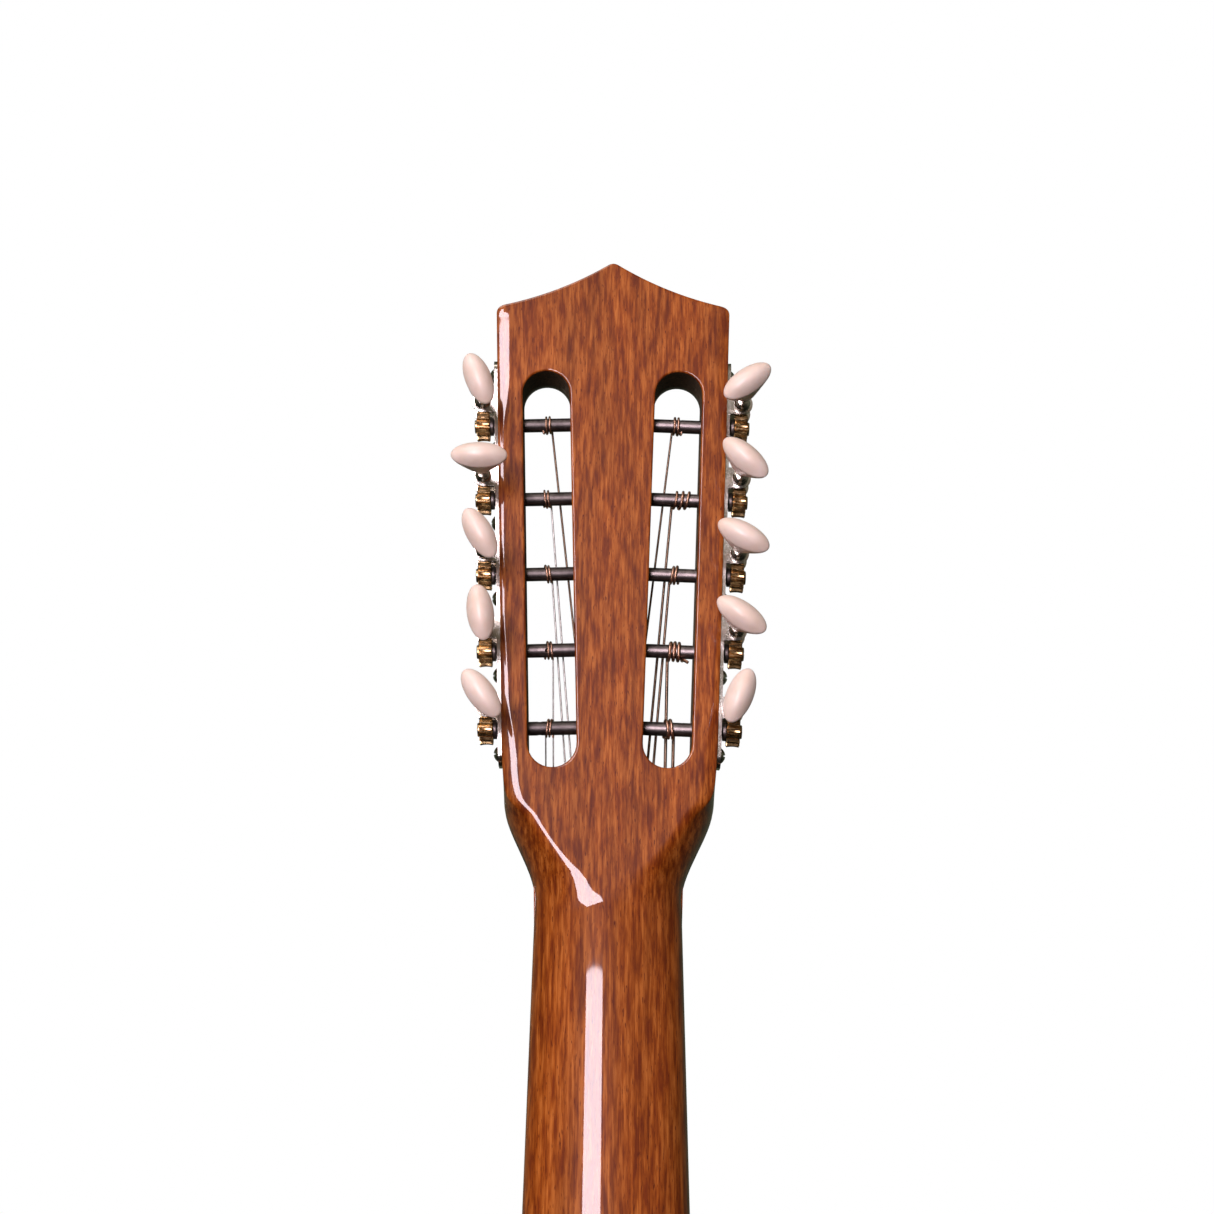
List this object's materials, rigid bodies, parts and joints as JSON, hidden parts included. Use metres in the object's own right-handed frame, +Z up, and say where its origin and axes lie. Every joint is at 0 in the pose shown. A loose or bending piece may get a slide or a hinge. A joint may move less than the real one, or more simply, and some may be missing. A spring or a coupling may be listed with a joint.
{
  "type": "bouzouki",
  "caption": "Fretted long-necked string instrument with a pear-shaped flat-topped body and a slotted head with geared tuning machines.",
  "frame": {"origin": "on the centre line at the head end of the nut, in the plane the fingerboard is glued to, midway between the arms of a wall hanger that the shoulders of the head rest on", "axes": "+Z up the neck towards the head, -Y out of the soundboard, +Y out of the back, +X to the treble side"},
  "size_m": [0.33, 0.1016, 0.9961],
  "materials": {
    "mahogany": "gloss lacquer",
    "rosewood": "gloss lacquer",
    "ebony": "oiled",
    "spruce": "gloss lacquer",
    "cedar": "bare",
    "rosette": "gloss lacquer",
    "binding": "gloss",
    "bone": "polished",
    "pearl": "polished",
    "button": "satin",
    "nickel": "polished",
    "roller_steel": "satin",
    "fret_wire": "polished",
    "string_steel": "bright",
    "bronze": "bright",
    "brass": "polished"
  },
  "bodies": {
    "instrument": {"neck": "mahogany", "heel_cap": "binding", "head_veneer": "rosewood", "fingerboard": "ebony", "frets": "fret_wire", "nut": "bone", "position_dots": "pearl", "truss_rod": "roller_steel", "truss_rod_nut": "brass", "soundboard": "spruce", "rosette": "rosette", "back": "mahogany", "side_bass": "mahogany", "side_treble": "mahogany", "bindings": "binding", "linings": "cedar", "neck_block": "cedar", "tail_block": "cedar", "braces": "spruce", "bridge": "rosewood", "saddle": "bone", "tailpiece": "nickel", "tailpiece_screws": "nickel", "end_pin": "ebony", "strings_plain": "string_steel", "strings_wound": "bronze", "tuner_plate_treble": "nickel", "tuner_plate_bass": "nickel", "tuner_plate_screws": "nickel"},
    "tuner_treble_1": {"worm_treble_1": "nickel", "button_treble_1": "button"},
    "drum_treble_1": {"roller_treble_1": "roller_steel"},
    "tuner_treble_2": {"worm_treble_2": "nickel", "button_treble_2": "button"},
    "drum_treble_2": {"roller_treble_2": "roller_steel"},
    "tuner_treble_3": {"worm_treble_3": "nickel", "button_treble_3": "button"},
    "drum_treble_3": {"roller_treble_3": "roller_steel"},
    "tuner_treble_4": {"worm_treble_4": "nickel", "button_treble_4": "button"},
    "drum_treble_4": {"roller_treble_4": "roller_steel"},
    "tuner_treble_5": {"worm_treble_5": "nickel", "button_treble_5": "button"},
    "drum_treble_5": {"roller_treble_5": "roller_steel"},
    "tuner_bass_1": {"worm_bass_1": "nickel", "button_bass_1": "button"},
    "drum_bass_1": {"roller_bass_1": "roller_steel"},
    "tuner_bass_2": {"worm_bass_2": "nickel", "button_bass_2": "button"},
    "drum_bass_2": {"roller_bass_2": "roller_steel"},
    "tuner_bass_3": {"worm_bass_3": "nickel", "button_bass_3": "button"},
    "drum_bass_3": {"roller_bass_3": "roller_steel"},
    "tuner_bass_4": {"worm_bass_4": "nickel", "button_bass_4": "button"},
    "drum_bass_4": {"roller_bass_4": "roller_steel"},
    "tuner_bass_5": {"worm_bass_5": "nickel", "button_bass_5": "button"},
    "drum_bass_5": {"roller_bass_5": "roller_steel"}
  },
  "joints": [
    {"name": "turn_treble_1", "type": "hinge", "parent": "instrument", "child": "tuner_treble_1", "pos_m": [0.0409, 0.02184, 0.05466], "axis": [0, 0.9781, -0.2079], "continuous": true},
    {"name": "wind_treble_1", "type": "hinge", "parent": "instrument", "child": "drum_treble_1", "pos_m": [0.04068, 0.02039, 0.04782], "axis": [0.9995, -0.0064, -0.0303], "continuous": true},
    {"name": "turn_treble_2", "type": "hinge", "parent": "instrument", "child": "tuner_treble_2", "pos_m": [0.04171, 0.02729, 0.08028], "axis": [0, 0.9781, -0.2079], "continuous": true},
    {"name": "wind_treble_2", "type": "hinge", "parent": "instrument", "child": "drum_treble_2", "pos_m": [0.0415, 0.02583, 0.07344], "axis": [0.9995, -0.0064, -0.0303], "continuous": true},
    {"name": "turn_treble_3", "type": "hinge", "parent": "instrument", "child": "tuner_treble_3", "pos_m": [0.04252, 0.03273, 0.10589], "axis": [0, 0.9781, -0.2079], "continuous": true},
    {"name": "wind_treble_3", "type": "hinge", "parent": "instrument", "child": "drum_treble_3", "pos_m": [0.04231, 0.03128, 0.09905], "axis": [0.9995, -0.0064, -0.0303], "continuous": true},
    {"name": "turn_treble_4", "type": "hinge", "parent": "instrument", "child": "tuner_treble_4", "pos_m": [0.04334, 0.03818, 0.13151], "axis": [0, 0.9781, -0.2079], "continuous": true},
    {"name": "wind_treble_4", "type": "hinge", "parent": "instrument", "child": "drum_treble_4", "pos_m": [0.04312, 0.03672, 0.12467], "axis": [0.9995, -0.0064, -0.0303], "continuous": true},
    {"name": "turn_treble_5", "type": "hinge", "parent": "instrument", "child": "tuner_treble_5", "pos_m": [0.04415, 0.04362, 0.15712], "axis": [0, 0.9781, -0.2079], "continuous": true},
    {"name": "wind_treble_5", "type": "hinge", "parent": "instrument", "child": "drum_treble_5", "pos_m": [0.04393, 0.04217, 0.15028], "axis": [0.9995, -0.0064, -0.0303], "continuous": true},
    {"name": "turn_bass_1", "type": "hinge", "parent": "instrument", "child": "tuner_bass_1", "pos_m": [-0.0409, 0.02184, 0.05466], "axis": [0, 0.9781, -0.2079], "continuous": true},
    {"name": "wind_bass_1", "type": "hinge", "parent": "instrument", "child": "drum_bass_1", "pos_m": [-0.04068, 0.02039, 0.04782], "axis": [-0.9995, -0.0064, -0.0303], "continuous": true},
    {"name": "turn_bass_2", "type": "hinge", "parent": "instrument", "child": "tuner_bass_2", "pos_m": [-0.04171, 0.02729, 0.08028], "axis": [0, 0.9781, -0.2079], "continuous": true},
    {"name": "wind_bass_2", "type": "hinge", "parent": "instrument", "child": "drum_bass_2", "pos_m": [-0.0415, 0.02583, 0.07344], "axis": [-0.9995, -0.0064, -0.0303], "continuous": true},
    {"name": "turn_bass_3", "type": "hinge", "parent": "instrument", "child": "tuner_bass_3", "pos_m": [-0.04252, 0.03273, 0.10589], "axis": [0, 0.9781, -0.2079], "continuous": true},
    {"name": "wind_bass_3", "type": "hinge", "parent": "instrument", "child": "drum_bass_3", "pos_m": [-0.04231, 0.03128, 0.09905], "axis": [-0.9995, -0.0064, -0.0303], "continuous": true},
    {"name": "turn_bass_4", "type": "hinge", "parent": "instrument", "child": "tuner_bass_4", "pos_m": [-0.04334, 0.03818, 0.13151], "axis": [0, 0.9781, -0.2079], "continuous": true},
    {"name": "wind_bass_4", "type": "hinge", "parent": "instrument", "child": "drum_bass_4", "pos_m": [-0.04312, 0.03672, 0.12467], "axis": [-0.9995, -0.0064, -0.0303], "continuous": true},
    {"name": "turn_bass_5", "type": "hinge", "parent": "instrument", "child": "tuner_bass_5", "pos_m": [-0.04415, 0.04362, 0.15712], "axis": [0, 0.9781, -0.2079], "continuous": true},
    {"name": "wind_bass_5", "type": "hinge", "parent": "instrument", "child": "drum_bass_5", "pos_m": [-0.04393, 0.04217, 0.15028], "axis": [-0.9995, -0.0064, -0.0303], "continuous": true}
  ],
  "couplings": [
    {"joint": "wind_treble_1", "follows": "turn_treble_1", "ratio": 0.066667},
    {"joint": "wind_treble_2", "follows": "turn_treble_2", "ratio": 0.066667},
    {"joint": "wind_treble_3", "follows": "turn_treble_3", "ratio": 0.066667},
    {"joint": "wind_treble_4", "follows": "turn_treble_4", "ratio": 0.066667},
    {"joint": "wind_treble_5", "follows": "turn_treble_5", "ratio": 0.066667},
    {"joint": "wind_bass_1", "follows": "turn_bass_1", "ratio": 0.066667},
    {"joint": "wind_bass_2", "follows": "turn_bass_2", "ratio": 0.066667},
    {"joint": "wind_bass_3", "follows": "turn_bass_3", "ratio": 0.066667},
    {"joint": "wind_bass_4", "follows": "turn_bass_4", "ratio": 0.066667},
    {"joint": "wind_bass_5", "follows": "turn_bass_5", "ratio": 0.066667}
  ]
}
